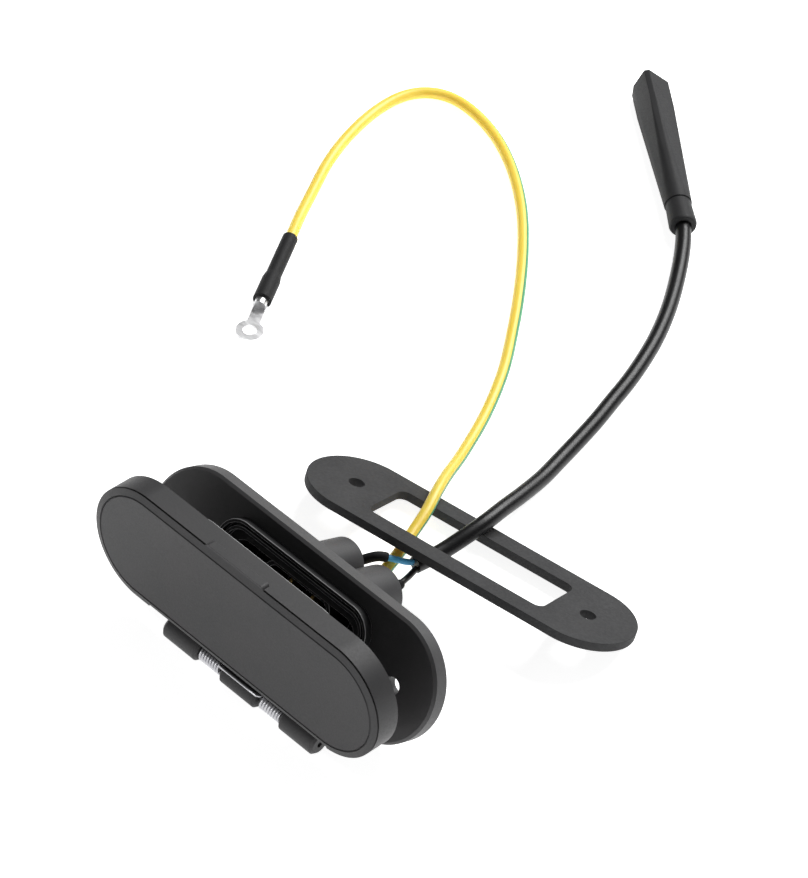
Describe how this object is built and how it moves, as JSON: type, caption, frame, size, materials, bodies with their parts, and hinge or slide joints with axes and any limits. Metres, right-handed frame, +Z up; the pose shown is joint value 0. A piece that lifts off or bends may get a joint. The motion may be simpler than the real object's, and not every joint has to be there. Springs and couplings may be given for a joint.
{
  "type": "charge port inlet",
  "caption": "Flanged power inlet with a sprung oval lid, ribbed collar, lobed rear cover, loose panel gasket, sheathed power lead with moulded connector and earth lead with ring terminal.",
  "frame": {"origin": "middle of the flange's back face, at the middle of the panel cut-out", "axes": "+X along the flange, +Y to the rear along the table, +Z up from the table; the inlet leans back on its rear cover as it lies in the picture"},
  "size_m": [0.3182, 0.4205, 0.0699],
  "materials": {
    "flange_plastic": "satin moulded",
    "lid_plastic": "satin moulded",
    "black_plastic": "moulded",
    "black_rubber": "matt",
    "gasket_foam": "closed-cell foam",
    "contact_brass": "plain",
    "bright_steel": "bright drawn",
    "tinned_terminal": "tinned",
    "blue_insulation": "smooth",
    "dark_insulation": "smooth",
    "yellow_insulation": "smooth with a green stripe",
    "black_sleeve": "heat-shrink",
    "black_sheath": "smooth",
    "connector_rubber": "moulded"
  },
  "bodies": {
    "inlet": {"flange": "flange_plastic", "collar_seal": "black_rubber", "contact_carrier": "black_plastic", "line_blade": "contact_brass", "neutral_blade": "contact_brass", "earth_pin": "contact_brass", "rear_cover": "flange_plastic", "hinge_pin": "bright_steel", "lid_spring": "bright_steel", "panel_gasket": "gasket_foam", "neutral_core": "blue_insulation", "neutral_sleeve": "black_sleeve", "line_core": "dark_insulation", "line_sleeve": "black_sleeve", "earth_wire": "yellow_insulation", "terminal_sleeve": "black_sleeve", "ring_terminal": "tinned_terminal", "power_cord": "black_sheath", "connector_collar": "connector_rubber", "connector_body": "connector_rubber", "line_contact": "contact_brass", "neutral_contact": "contact_brass", "earth_contact": "contact_brass"},
    "lid": {"lid": "lid_plastic", "lid_seal": "black_rubber"}
  },
  "joints": [
    {"name": "lid_hinge", "type": "hinge", "parent": "inlet", "child": "lid", "pos_m": [0.0055, -0.03551, -0.0203], "axis": [1, 0, 0], "range_deg": [-21.4, 70], "stiffness_Nm_per_rad": 0.1, "deforming": ["lid_spring"]}
  ]
}
